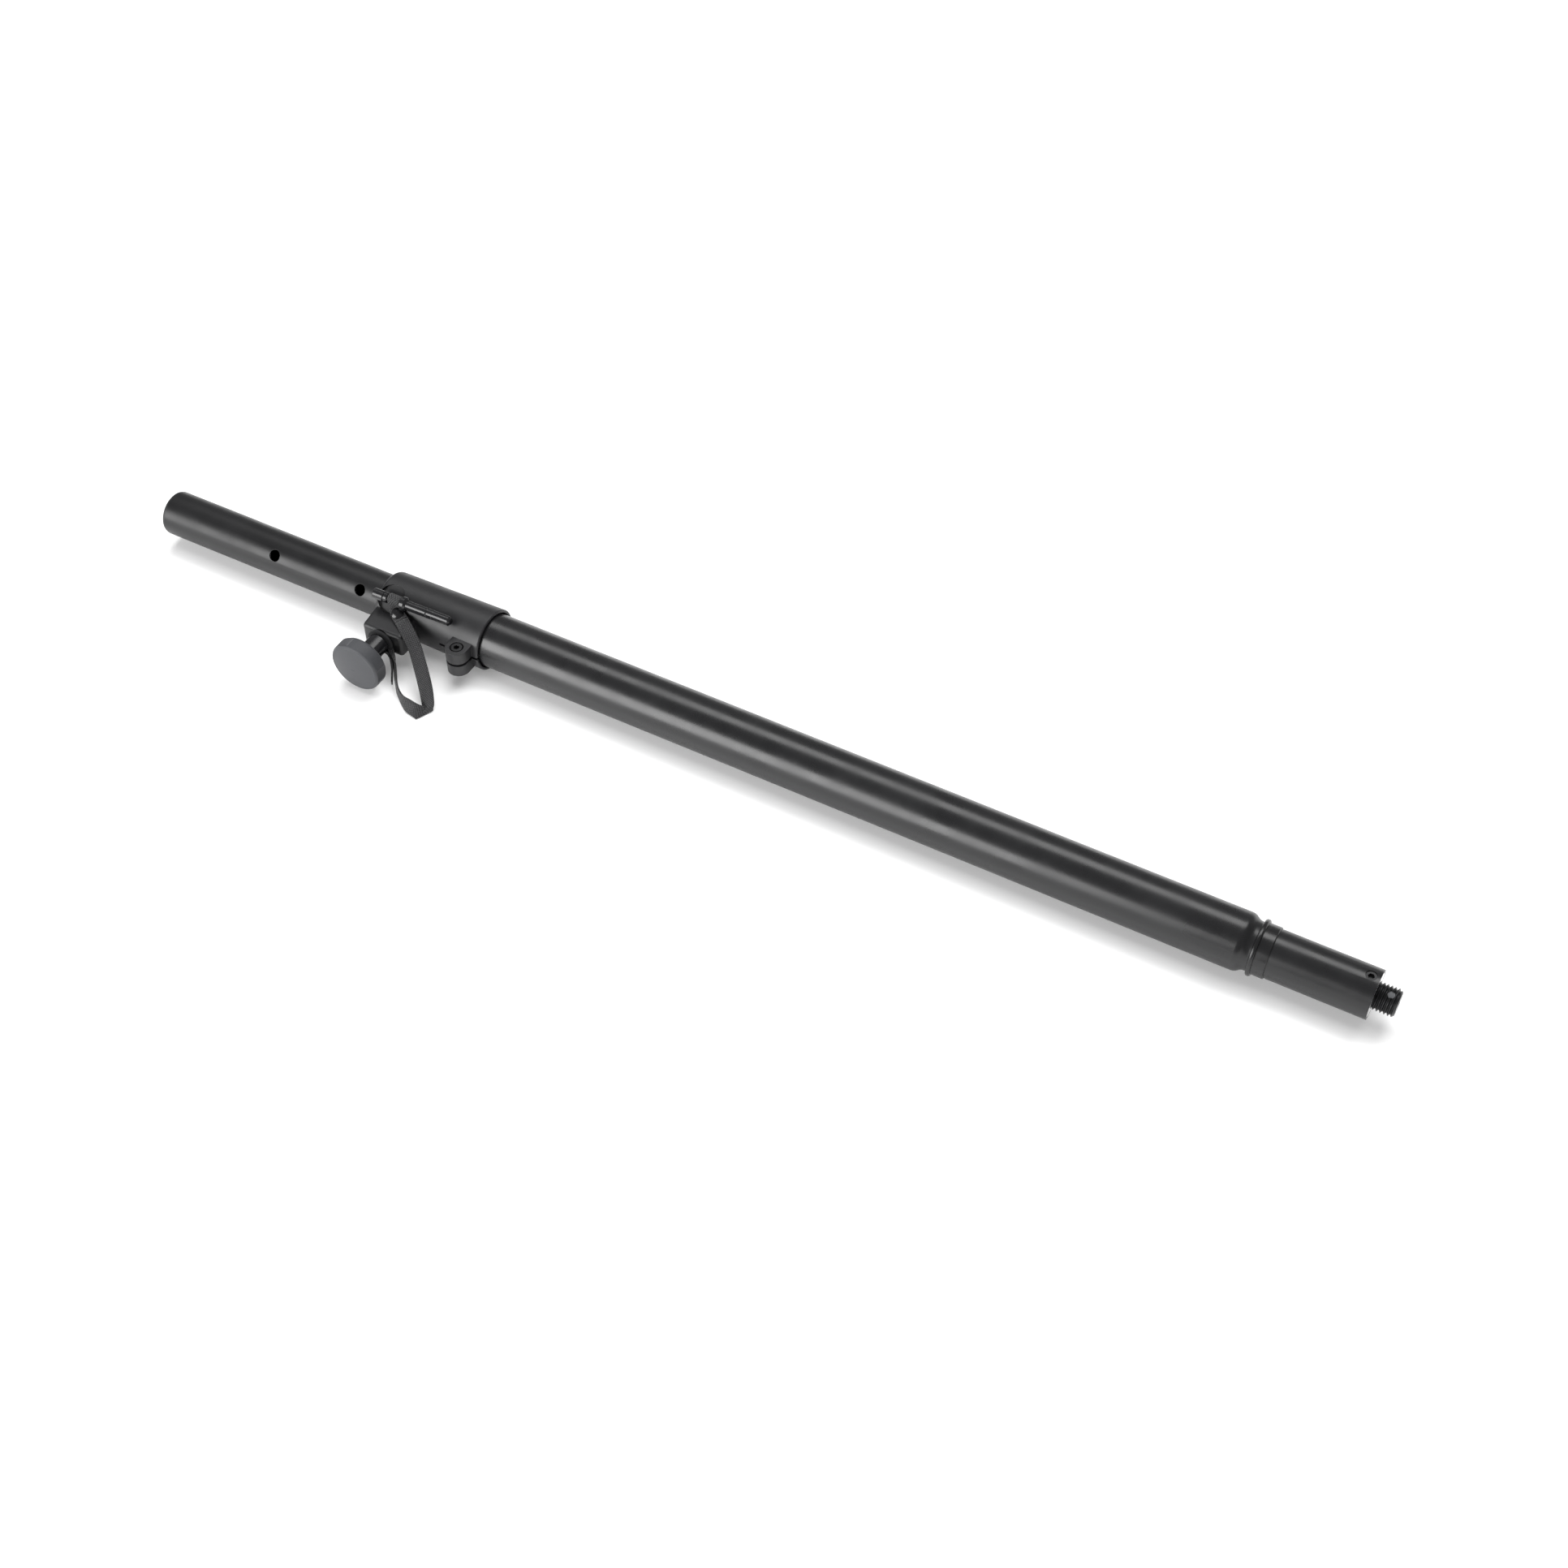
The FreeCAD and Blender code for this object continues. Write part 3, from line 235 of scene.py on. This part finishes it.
# ---------------------------------------------------------------- materials
def make_materials():
    """The materials by the record's slots, and one more for the webbing that is bunched round the
    knob's neck: plain, with no weave, and darker than the strap by painted shade.
    """
    black = (0.006, 0.006, 0.0066)
    return {
        "upper_tube_paint": grained("upper_tube_paint", black, 0.38, 0.0006, 0.000006, blotch=0.03,
                                    edge=0.0004, level=0.42),
        "lower_tube_paint": grained("lower_tube_paint", (0.007, 0.007, 0.0077), 0.3, 0.0006,
                                    0.000006, blotch=0.03),
        "flange_paint": grained("flange_paint", (0.006, 0.006, 0.0065), 0.24, 0.0006, 0.000004,
                                edge=0.0003),
        "collar_plastic": grained("collar_plastic", (0.01, 0.01, 0.011), 0.45, 0.00035, 0.00002,
                                  edge=0.0007),
        "black_plastic": grained("black_plastic", (0.014, 0.014, 0.015), 0.5, 0.0004, 0.00001),
        "knob_plastic": grained("knob_plastic", (0.04, 0.0415, 0.046), 0.55, 0.0003, 0.00001,
                                edge=0.0004, sheen=0.1, level=0.4),
        "knob_face_plastic": grained("knob_face_plastic", (0.04, 0.0415, 0.046), 0.5, 0.0003,
                                     0.00001, sheen=0.1, level=0.4),
        "hub_plastic": grained("hub_plastic", (0.008, 0.008, 0.009), 0.2, 0.0008, 0.000004,
                               edge=0.0003, swing=0.03),
        "liner_plastic": grained("liner_plastic", (0.12, 0.12, 0.12), 0.5, 0.0005, 0.00001),
        "pin_steel": grained("pin_steel", (0.008, 0.008, 0.009), 0.2, 0.0009, 0.000002, swing=0.03),
        "rivet_steel": grained("rivet_steel", (0.008, 0.008, 0.009), 0.2, 0.0009, 0.000003,
                               swing=0.03),
        "zinc_steel": turned_metal("zinc_steel", (0.75, 0.75, 0.76), 0.2, edge=0.0002),
        "black_steel": grained("black_steel", (0.02, 0.02, 0.021), 0.3, 0.0005, 0.00001,
                               edge=0.0002, metallic=0.6, level=0.7),
        "brass": turned_metal("brass", (0.7, 0.5, 0.22), 0.3),
        "webbing": woven("webbing"),
        # bunched webbing round the knob's neck: no weave, and a darker colour that is painted shade
        "shaded_gathered_webbing": grained("shaded_gathered_webbing", (0.01, 0.01, 0.011), 0.75, 0.0006,
                                    0.0002, sheen=0.1, level=0.3),
        "pellet_nylon": grained("pellet_nylon", (0.055, 0.057, 0.061), 0.5, 0.0004, 0.00002),
        "pad_rubber": grained("pad_rubber", (0.02, 0.02, 0.02), 0.7, 0.0004, 0.00002),
    }


def give(obj, material):
    obj.data.materials.clear()
    obj.data.materials.append(material)


# ---------------------------------------------------------------- tether routes
WEB_WIDTH, WEB_THICK = 10.6, 1.3
CREASE = math.sqrt(2)               # a corner-wise fold is this much longer than the width
GATHERED = 0.21                     # share of the width left where the strap is bunched
MOST_BULK = 2.6                     # the bunched strap is at most this much thicker

# Each station is a point of the strap's middle line, the direction of its width there and the
# share of its full width. The strap's short end, then round the knob's neck, then the strand that
# lies along the floor up to the crease.
SHORT_END = [
    ((248.6, -61.3, -15.9), (0.33, -0.3, 0.9), 1),
    ((246.7, -58.2, -14.3), (0.33, -0.3, 0.9), 1),
    ((244.1, -53.8, -12.3), (0.33, -0.3, 0.9), 1),
    ((240.2, -48.2, -10.2), (0.25, -0.5, 0.83), 0.75),
    ((236.8, -44.0, -8.9), (0.15, -0.6, 0.78), 0.42),
    ((232.4, -42.05, -8.6), (0.0, -1.0, 0.0), GATHERED),
    ((227.5, -42.05, -8.8), (0.0, -1.0, 0.0), GATHERED),
]
STRAND = [
    ((235.2, -42.1, -3.4), (0.1, -0.7, 0.4), 0.25),
    ((238.0, -43.6, -5.7), (0.2, -0.6, 0.78), 0.45),
    ((240.9, -46.0, -7.8), (0.3, -0.55, 0.78), 0.8),
    ((243.9, -49.7, -10.2), (0.42, -0.25, 0.87), 1),
    ((247.9, -55.2, -13.4), (0.42, -0.2, 0.88), 1),
    ((253.0, -61.9, -16.6), (0.38, -0.3, 0.87), 1),
    ((256.6, -65.3, -18.2), (0.5, -0.3, 0.8), 1),
    ((260.0, -67.6, -18.7), (0.58, -0.27, 0.77), 1),
    ((263.5, -69.7, -18.7), (0.54, -0.1, 0.84), 1),
    ((267.6, -71.7, -18.5), (0.47, 0.2, 0.86), 1),
    ((272.9, -73.6, -18.9), (0.34, 0.58, 0.74), 1),
    ((277.2, -74.1, -19.3), (0.36, 0.6, 0.71), 1),
    ((284.2, -71.9, -22.8), (0.41, 0.91, 0.0), CREASE),
]
# From the crease back up to the rivet.
FRONT_LEG = [
    ((284.2, -71.9, -22.8), (0.41, 0.91, 0.0), CREASE),
    ((284.8, -66.8, -19.5), (0.85, 0.26, 0.46), 1),
    ((281.8, -63.0, -16.5), (0.84, 0.39, 0.37), 1),
    ((277.4, -57.9, -12.8), (0.8, 0.54, 0.26), 1),
    ((269.2, -49.9, -6.5), (0.8, 0.55, 0.23), 1),
    ((261.1, -42.7, 0.5), (0.72, 0.58, 0.38), 1),
    ((255.9, -38.2, 5.6), (0.66, 0.63, 0.4), 1),
    ((247.4, -33.7, 12.3), (0.6, 0.76, 0.18), 1),
    ((237.3, -26.6, 13.0), (0.6, 0.75, 0.28), 1),
]
CREASE_FACES = Vector((0.91, -0.41, 0.0))
NECK_X, NECK_Y, NECK_LOOP_R = 227.0, -42.05, 8.75
NECK_FROM = math.radians(-112.5)    # where the loop round the neck starts, from +x towards +z
PIN_TURN = math.radians(49.5)       # the pin lies this far above horizontal on the collar
PIN_NECK = Vector((227.4, -18.23, 21.86))
PIN_LOOP_R = 3.8
TAB_UNDER = [
    ((237.3, -26.4, 12.3), (0.6, 0.75, 0.28), 1),
    ((233.9, -24.2, 12.0), (0.6, 0.75, 0.28), 0.9),
    ((230.9, -22.4, 13.0), (0.73, 0.65, 0.18), 1),
    ((228.4, -18.9, 15.7), (0.9, 0.43, 0.05), 0.95),
]
TAB_OVER = [
    ((229.0, -21.0, 19.8), (0.95, 0.3, 0.05), 0.92),
    ((228.3, -19.6, 16.9), (0.85, 0.52, 0.07), 0.95),
    ((229.5, -20.8, 15.6), (0.8, 0.59, 0.1), 1),
    ((231.1, -23.0, 14.2), (0.73, 0.65, 0.18), 1),
    ((234.5, -24.8, 12.5), (0.6, 0.75, 0.28), 1),
    ((237.2, -26.8, 13.6), (0.6, 0.75, 0.28), 1),
]
EIGHTH = math.radians(45)
LOOP_STEPS = 6                      # control points, an eighth of a turn apart, in each loop


def round_neck():
    """Control points that take the strap round the knob's neck, from below to the right side."""
    stations = []
    corner = NECK_LOOP_R / math.cos(EIGHTH / 2)
    for step in range(LOOP_STEPS):
        turn = NECK_FROM - step * EIGHTH
        point = (NECK_X + corner * math.cos(turn), NECK_Y, corner * math.sin(turn))
        stations.append((point, (0.0, -1.0, 0.0), GATHERED))
    return stations


def round_pin():
    """Control points that take the tab under the pin's neck, behind it and back over it."""
    outward = Vector((0, -math.cos(PIN_TURN), math.sin(PIN_TURN)))
    beyond = Vector((0, math.sin(PIN_TURN), math.cos(PIN_TURN)))
    corner = PIN_LOOP_R / math.cos(EIGHTH / 2)
    stations = []
    for step in range(LOOP_STEPS):
        turn = EIGHTH * (step + 1.5)
        point = PIN_NECK - beyond * (corner * math.cos(turn)) - outward * (corner * math.sin(turn))
        stations.append((tuple(point), (1.0, 0.0, 0.0), 1))
    return stations


def smooth_line(points):
    """The points along the smooth NURBS line that a route's points control."""
    curve = bpy.data.curves.new("route", "CURVE")
    curve.dimensions = "3D"
    curve.resolution_u = 10
    spline = curve.splines.new("NURBS")
    spline.points.add(len(points) - 1)
    for control, point in zip(spline.points, points):
        control.co = (*point, 1)
    spline.order_u = 3
    spline.use_endpoint_u = True
    holder = bpy.data.objects.new("route", curve)
    bpy.context.collection.objects.link(holder)
    bpy.context.view_layer.update()
    graph = bpy.context.evaluated_depsgraph_get()
    line = bpy.data.meshes.new_from_object(holder.evaluated_get(graph))
    found = [v.co.copy() for v in line.vertices]
    bpy.data.objects.remove(holder)
    bpy.data.curves.remove(curve)
    bpy.data.meshes.remove(line)
    return found


# A place along a strap: its middle, its half width as a vector, the vector that its faces point
# along, and the length of the strap so far.
StrapFrame = namedtuple("StrapFrame", "middle width face run")


def strap_frames(stations, creased_end=None):
    """The strap's frames along its smooth line. A narrowed strap is thicker: its face vector is
    longer than one."""
    middles = [at(*point) for point, _, _ in stations]
    full = WEB_WIDTH / 2 * MM
    widths = [Vector(across).normalized() * share * full for _, across, share in stations]
    line = smooth_line(middles)
    edge = smooth_line([m + w for m, w in zip(middles, widths)])
    frames, run = [], 0.0
    for i, point in enumerate(line):
        ahead = (line[min(i + 1, len(line) - 1)] - line[max(i - 1, 0)]).normalized()
        width = edge[i] - point
        bulk = min(max(full / width.length, 1.0), MOST_BULK)
        face = ahead.cross(width).normalized() * bulk
        if i:
            run += (point - line[i - 1]).length
        frames.append(StrapFrame(point, width, face, run))
    if creased_end is not None:
        creased = frames[creased_end]
        facing = CREASE_FACES.normalized()
        if creased.face.dot(facing) < 0:
            facing = -facing
        frames[creased_end] = creased._replace(face=facing)
    return frames


# The strap's section, as shares of its half width and half thickness: flat faces, rounded edges.
SECTION = [
    (-1.0, 0.0), (-0.985, 0.6), (-0.93, 0.95), (-0.5, 1.0), (0.0, 1.0), (0.5, 1.0), (0.93, 0.95),
    (0.985, 0.6), (1.0, 0.0), (0.985, -0.6), (0.93, -0.95), (0.5, -1.0), (0.0, -1.0), (-0.5, -1.0),
    (-0.93, -0.95), (-0.985, -0.6),
]


def girth(strap_frame, k):
    """How far a point of the section lies across the strap, its thickness included, in metres."""
    across, up = SECTION[k]
    return across * strap_frame.width.length + up * strap_frame.face.length * WEB_THICK / 2 * MM


def strap_mesh(name, frames, material, body=None):
    """A closed strap along its frames, with UVs in metres along and across."""
    vertices, faces, uvs = [], [], []
    count = len(SECTION)
    for place in frames:
        for across, up in SECTION:
            thickness = place.face * (up * WEB_THICK / 2 * MM)
            vertices.append(place.middle + place.width * across + thickness)
    for i in range(len(frames) - 1):
        for k in range(count):
            after = (k + 1) % count
            faces.append((i * count + k, i * count + after, (i + 1) * count + after,
                          (i + 1) * count + k))
            near, far = frames[i], frames[i + 1]
            uvs.append(((near.run, girth(near, k)), (near.run, girth(near, after)),
                        (far.run, girth(far, after)), (far.run, girth(far, k))))
    for i, order in ((0, -1), (len(frames) - 1, 1)):
        ring = [i * count + k for k in range(count)]
        faces.append(tuple(ring[::order]))
        uvs.append(tuple((frames[i].run, girth(frames[i], k)) for k in range(count))[::order])
    mesh = bpy.data.meshes.new(name)
    mesh.from_pydata(vertices, [], faces)
    layer = mesh.uv_layers.new(name="UVMap")
    for polygon, corners in zip(mesh.polygons, uvs):
        polygon.use_smooth = True
        for loop, uv in zip(polygon.loop_indices, corners):
            layer.data[loop].uv = uv
    mesh.update()
    obj = bpy.data.objects.new(name, mesh)
    bpy.context.collection.objects.link(obj)
    give(obj, material)
    if body:
        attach(obj, body)
    return obj


def make_tether(material, shaded_loop_material):
    """The strap in four pieces: loop round the knob's neck, strand, front leg and pin's tab."""
    route = SHORT_END + round_neck() + STRAND
    frames = strap_frames(route, creased_end=-1)
    leaves = at(*STRAND[0][0])
    # the short end passes close by as well, so the search starts a third of the way along
    later = range(len(frames) // 3, len(frames))
    cut = min(later, key=lambda i: (frames[i].middle - leaves).length)
    # the loop round the neck takes the plain webbing, darker by painted shade
    loop = strap_mesh("webbing_stem_loop", frames[:cut + 1], shaded_loop_material, "base")
    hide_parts("tether_stem_loop")
    strand = strap_mesh("webbing_strand", frames[cut:], material, "base")
    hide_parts("tether_strap")

    frames = strap_frames(FRONT_LEG, creased_end=0)
    leg = strap_mesh("webbing_front_leg", frames, material)
    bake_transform(leg)
    tab = strap_mesh("webbing_tab", strap_frames(TAB_UNDER + round_pin() + TAB_OVER), material, "pin")
    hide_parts("tether_pin_loop")


# ---------------------------------------------------------------- threaded stud
STUD_START, STUD_END = 950.0, 998.4
THREAD_START = 982.2
CREST_R = stud_mount["dims"]["r_mm"]
THREAD_DEPTH, PITCH = 1.45, 2.5
ROOT_FLAT, FLANK = 0.16, 0.68       # shares of half a pitch
END_CHAMFER = 1.7
CENTRE_DRILL_R, CENTRE_DRILL_DEPTH, CENTRE_DRILL_TIP_R = 2.0, 1.6, 0.05
PELLET_X, PELLET_R, PELLET_ANGLE = 992.3, 2.55, math.radians(77)
TURN_STEPS, STEPS_PER_PITCH = 96, 12


def thread_radius(x, turn):
    """Radius of the cut thread: flat crest and root with straight flanks, chamfered at the end."""
    phase = ((x - THREAD_START) / PITCH - turn / (2 * math.pi)) % 1.0
    rise = min(max((abs(2 * phase - 1) - ROOT_FLAT) / FLANK, 0.0), 1.0)
    radius = CREST_R - THREAD_DEPTH * (1 - rise)
    return min(radius, CREST_R - END_CHAMFER + max(STUD_END - x, 0.0))


def make_stud(material):
    """The stud as rings along its axis: plain stretch, cut thread and centre drilling."""
    plain = [(STUD_START, CREST_R - END_CHAMFER), (STUD_START + END_CHAMFER, CREST_R),
             (THREAD_START, CREST_R)]
    drilled = [(STUD_END, CENTRE_DRILL_R), (STUD_END - CENTRE_DRILL_DEPTH, CENTRE_DRILL_TIP_R)]
    steps = round((STUD_END - THREAD_START) / PITCH * STEPS_PER_PITCH)
    rings = [[radius] * TURN_STEPS for _, radius in plain]
    places = [x for x, _ in plain]
    for i in range(1, steps + 1):
        x = THREAD_START + (STUD_END - THREAD_START) * i / steps
        places.append(x)
        rings.append([thread_radius(x, 2 * math.pi * k / TURN_STEPS) for k in range(TURN_STEPS)])
    for x, radius in drilled:
        places.append(x)
        rings.append([radius] * TURN_STEPS)
    vertices, faces = [], []
    for x, ring in zip(places, rings):
        for k, radius in enumerate(ring):
            turn = 2 * math.pi * k / TURN_STEPS
            vertices.append(at(x, -radius * math.cos(turn), radius * math.sin(turn)))
    for i in range(len(places) - 1):
        for k in range(TURN_STEPS):
            after = (k + 1) % TURN_STEPS
            faces.append((i * TURN_STEPS + k, i * TURN_STEPS + after,
                          (i + 1) * TURN_STEPS + after, (i + 1) * TURN_STEPS + k))
    last = (len(places) - 1) * TURN_STEPS
    faces.append(tuple(range(TURN_STEPS))[::-1])
    faces.append(tuple(last + k for k in range(TURN_STEPS)))
    mesh = bpy.data.meshes.new("threaded_stud")
    mesh.from_pydata(vertices, [], faces)
    mesh.update()
    stud = bpy.data.objects.new("threaded_stud", mesh)
    bpy.context.collection.objects.link(stud)
    bore_pellet_hole(stud)
    give(stud, material)
    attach(stud, "base")
    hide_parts("m20_stud")


def bore_pellet_hole(stud):
    """Cut the cross hole that holds the thread lock pellet."""
    sides, reach = 48, 14.0
    out = Vector((0, -math.cos(PELLET_ANGLE), math.sin(PELLET_ANGLE)))
    side = out.cross(Vector((1, 0, 0)))
    centre = Vector((PELLET_X, 0, 0))
    vertices = []
    for end in (-reach, reach):
        for k in range(sides):
            turn = 2 * math.pi * k / sides
            offset = Vector((1, 0, 0)) * math.cos(turn) + side * math.sin(turn)
            vertices.append(at(*(centre + out * end + offset * PELLET_R)))
    faces = [(k, (k + 1) % sides, sides + (k + 1) % sides, sides + k) for k in range(sides)]
    faces += [tuple(range(sides))[::-1], tuple(range(sides, 2 * sides))]
    mesh = bpy.data.meshes.new("pellet_bore")
    mesh.from_pydata(vertices, [], faces)
    mesh.update()
    drill = bpy.data.objects.new("pellet_bore", mesh)
    bpy.context.collection.objects.link(drill)
    for shape in (stud, drill):
        outward_faces(shape)
    cutter = stud.modifiers.new("pellet_bore", "BOOLEAN")
    cutter.operation, cutter.solver, cutter.object = "DIFFERENCE", "EXACT", drill
    bpy.context.view_layer.update()
    graph = bpy.context.evaluated_depsgraph_get()
    bored = bpy.data.meshes.new_from_object(stud.evaluated_get(graph))
    stud.modifiers.clear()
    stud.data = bored
    bpy.data.objects.remove(drill)


def outward_faces(obj):
    work = bmesh.new()
    work.from_mesh(obj.data)
    bmesh.ops.recalc_face_normals(work, faces=work.faces)
    work.to_mesh(obj.data)
    work.free()


# ---------------------------------------------------------------- stage and light
FLOOR_HALF = 9.0
GLOW_NEAR, GLOW_FAR = 0.12, 0.7     # the paper's own glow by the pole and away from it,
GLOW_STARTS, GLOW_FULL = 1.0, 2.2   # and the distances between which it grows


def make_floor():
    mesh = bpy.data.meshes.new("floor")
    mesh.from_pydata([(-FLOOR_HALF, -FLOOR_HALF, 0), (FLOOR_HALF, -FLOOR_HALF, 0),
                      (FLOOR_HALF, FLOOR_HALF, 0), (-FLOOR_HALF, FLOOR_HALF, 0)], [], [(0, 1, 2, 3)])
    floor = bpy.data.objects.new("floor", mesh)
    bpy.context.collection.objects.link(floor)
    material, tree, shader = new_material("floor_paper")
    tone = blend_colour(tree, noise(tree, 0.4, 2.0), (0.86, 0.86, 0.86), (0.88, 0.88, 0.88))
    tree.links.new(tone, shader.inputs["Base Color"])
    shader.inputs["Roughness"].default_value = 0.95
    shader.inputs["Specular IOR Level"].default_value = 0.1
    shader.inputs["Emission Color"].default_value = (1, 1, 1, 1)
    # the paper glows more away from the pole, so that it stays white beyond the lights' reach
    place = tree.nodes.new("ShaderNodeTexCoord")
    reach = node(tree, "ShaderNodeVectorMath")
    reach.operation = "LENGTH"
    tree.links.new(place.outputs["Object"], reach.inputs[0])
    glow = spread_of(tree, reach.outputs["Value"], GLOW_NEAR, GLOW_FAR, GLOW_STARTS, GLOW_FULL)
    tree.links.new(glow, shader.inputs["Emission Strength"])
    give(floor, material)


def softbox(name, centre, target, width, height, radiance):
    """An area light that faces a target; radiance is what it shows in a mirror."""
    data = bpy.data.lights.new(name, "AREA")
    data.shape = "RECTANGLE"
    data.size, data.size_y = width, height
    data.energy = radiance * math.pi * width * height
    light = bpy.data.objects.new(name, data)
    light.location = centre
    facing = Vector(target) - Vector(centre)
    light.rotation_euler = facing.to_track_quat("-Z", "Y").to_euler()
    bpy.context.collection.objects.link(light)
    return light


def make_light():
    world = bpy.data.worlds.new("studio")
    world.use_nodes = True
    background = world.node_tree.nodes["Background"]
    background.inputs["Color"].default_value = (1, 1, 1, 1)
    background.inputs["Strength"].default_value = 0.3
    bpy.context.scene.world = world
    middle = (0.0, 0.03, 0.02)
    softbox("overhead", (-0.15, 0.8, 2.0), middle, 2.4, 0.85, 4.4)
    wide = softbox("overhead_wide", (0.0, 0.45, 2.2), middle, 2.6, 2.2, 2.5)
    wide.visible_glossy = False
    softbox("front", (-1.4, -2.6, 0.92), (-0.3, 0.03, 0.02), 2.4, 1.75, 8.0)
    bpy.context.scene.view_settings.view_transform = "Standard"


# ---------------------------------------------------------------- build
materials = make_materials()
for part in record["subparts"]:
    give(frame["nodes"][part["node"]], materials[part["material_slot"]])
make_tether(materials["webbing"], materials["shaded_gathered_webbing"])
make_stud(materials["black_steel"])
make_floor()
make_light()
add_camera()
